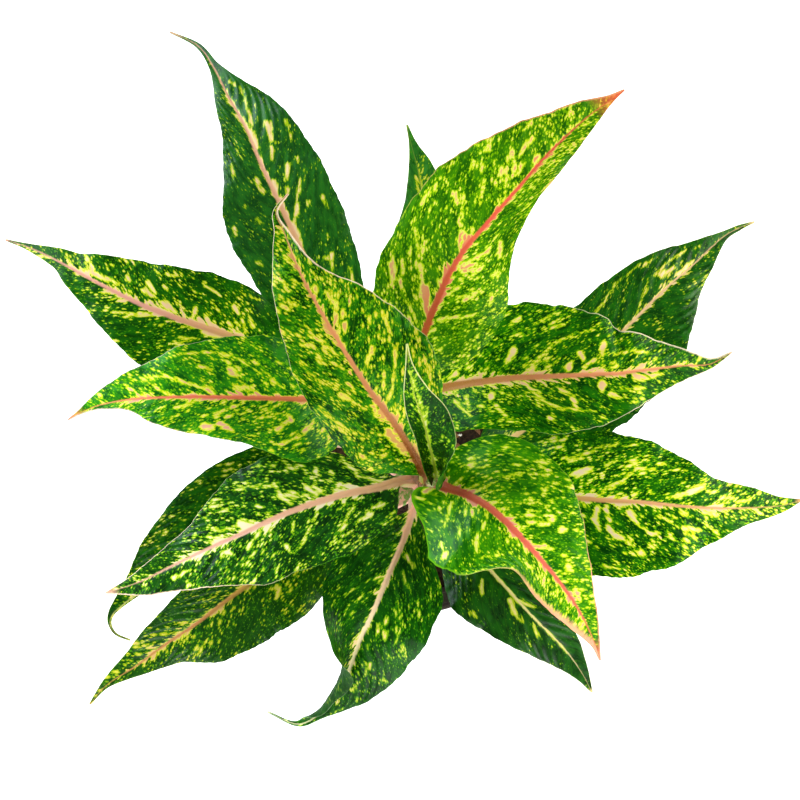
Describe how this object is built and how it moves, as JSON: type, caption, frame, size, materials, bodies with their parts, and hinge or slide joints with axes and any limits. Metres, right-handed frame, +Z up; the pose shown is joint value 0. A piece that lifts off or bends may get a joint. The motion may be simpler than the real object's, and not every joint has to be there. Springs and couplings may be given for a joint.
{
  "type": "potted chinese evergreen",
  "caption": "Free-standing house plant: a round plastic nursery pot filled with soil, with two leafy stems of broad, pointed, variegated leaves on sheathing stalks.",
  "frame": {"origin": "centre of the pot's flat base, on the surface that it stands on", "axes": "+Z up out of the pot; +X to the right and +Y to the back as the picture shows the plant from above"},
  "size_m": [0.4145, 0.3673, 0.3854],
  "materials": {
    "pot_plastic": "satin",
    "potting_soil": "matte",
    "stem_skin": "satin",
    "leaf_old": "satin",
    "leaf_middle": "satin",
    "leaf_young": "satin"
  },
  "bodies": {
    "root": {"pot": "pot_plastic", "soil": "potting_soil", "stem_a": "stem_skin", "stem_b": "stem_skin", "leaf_front_left_low": "leaf_old", "leaf_front_right": "leaf_old", "leaf_right_back": "leaf_old", "leaf_left_hooked": "leaf_old", "leaf_right_front": "leaf_middle", "leaf_front_middle": "leaf_old", "leaf_front_left_wide": "leaf_middle", "leaf_front_twisted": "leaf_young", "leaf_over_centre": "leaf_young", "leaf_young_rolled": "leaf_young", "leaf_back_middle": "leaf_old", "leaf_back_left": "leaf_old", "leaf_left_back": "leaf_middle", "leaf_left_front": "leaf_middle", "leaf_right_middle": "leaf_middle", "leaf_back_right": "leaf_young"}
  },
  "joints": []
}
